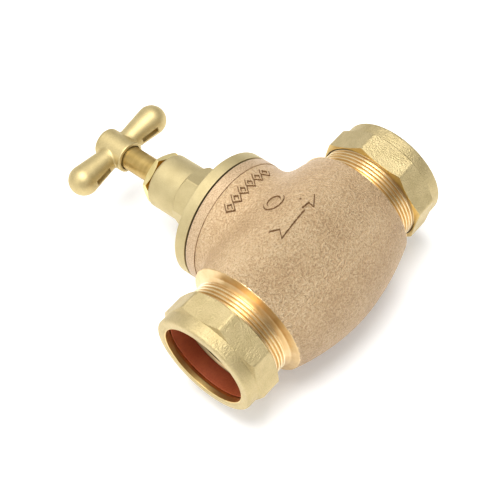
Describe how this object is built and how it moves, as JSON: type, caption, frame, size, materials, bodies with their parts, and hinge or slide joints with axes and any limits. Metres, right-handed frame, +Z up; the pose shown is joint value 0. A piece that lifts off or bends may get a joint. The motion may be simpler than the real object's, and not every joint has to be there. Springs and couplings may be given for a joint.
{
  "type": "screw-down stop valve",
  "caption": "Globe-bodied screw-down stop valve with a crutch handle, a gland and a compression nut with an olive on each end, for copper pipe.",
  "frame": {"origin": "middle of the bounding box's bottom, on the surface that the valve lies on", "axes": "+X along the pipe in the direction of flow, +Y along the stem from the body to the handle, +Z up with the valve lying on its cast body"},
  "size_m": [0.1706, 0.2046, 0.098],
  "materials": {
    "gunmetal_casting": "sand-cast gunmetal, blasted matte, machined threads",
    "bonnet_brass": "pale turned brass, fine tool marks",
    "gland_brass": "bright machined brass",
    "nut_brass": "matte forged and turned brass",
    "stem_brass": "polished turned brass",
    "handle_brass": "tumbled satin cast brass",
    "inner_brass": "machined brass",
    "copper": "dull red-brown copper",
    "steel": "plain steel",
    "rubber": "black moulded rubber",
    "fibre": "dark brown vulcanised fibre sheet",
    "packing": "braided graphited yarn"
  },
  "bodies": {
    "body": {"valve_body": "gunmetal_casting", "bonnet": "bonnet_brass", "bonnet_washer": "fibre", "packing_base_ring": "inner_brass", "packing_ring_1": "packing", "packing_ring_2": "packing", "packing_ring_3": "packing"},
    "jumper_group": {"jumper": "inner_brass", "jumper_clip": "steel", "seat_washer": "rubber", "washer_plate": "inner_brass", "washer_nut": "inner_brass"},
    "stem_group": {"stem": "stem_brass", "crutch_handle": "handle_brass", "handle_grub_screw": "steel"},
    "follower": {"gland_follower": "inner_brass"},
    "gland_nut": {"gland_nut": "gland_brass"},
    "inlet_olive": {"inlet_olive": "copper"},
    "inlet_nut": {"inlet_nut": "nut_brass"},
    "outlet_olive": {"outlet_olive": "copper"},
    "outlet_nut": {"outlet_nut": "nut_brass"}
  },
  "joints": [
    {"name": "jumper_lift", "type": "slide", "parent": "body", "child": "jumper_group", "axis": [0, 1, 0], "range_m": [-0.01201, 0.00001]},
    {"name": "stem_turn", "type": "hinge", "parent": "jumper_group", "child": "stem_group", "pos_m": [0, 0, 0.0487], "axis": [0, 1, 0], "range_deg": [-1080, 0]},
    {"name": "follower_slide", "type": "slide", "parent": "body", "child": "follower", "axis": [0, 1, 0], "range_m": [-0.00051, 0.00301]},
    {"name": "gland_nut_turn", "type": "hinge", "parent": "follower", "child": "gland_nut", "pos_m": [0, 0.05, 0.0487], "axis": [0, 1, 0], "range_deg": [-120, 720]},
    {"name": "inlet_olive_slide", "type": "slide", "parent": "body", "child": "inlet_olive", "axis": [-1, 0, 0], "range_m": [-0.00039, 0.00693]},
    {"name": "inlet_nut_turn", "type": "hinge", "parent": "inlet_olive", "child": "inlet_nut", "pos_m": [-0.07, -0.0557, 0.0487], "axis": [-1, 0, 0], "range_deg": [-60, 1080]},
    {"name": "outlet_olive_slide", "type": "slide", "parent": "body", "child": "outlet_olive", "axis": [1, 0, 0], "range_m": [-0.00039, 0.00693]},
    {"name": "outlet_nut_turn", "type": "hinge", "parent": "outlet_olive", "child": "outlet_nut", "pos_m": [0.07, -0.0557, 0.0487], "axis": [1, 0, 0], "range_deg": [-60, 1080]}
  ],
  "couplings": [
    {"joint": "jumper_lift", "follows": "stem_turn", "m_per_rad": 0.00063662},
    {"joint": "follower_slide", "follows": "gland_nut_turn", "m_per_rad": 0.00023873},
    {"joint": "inlet_olive_slide", "follows": "inlet_nut_turn", "m_per_rad": 0.0003675},
    {"joint": "outlet_olive_slide", "follows": "outlet_nut_turn", "m_per_rad": 0.0003675}
  ]
}
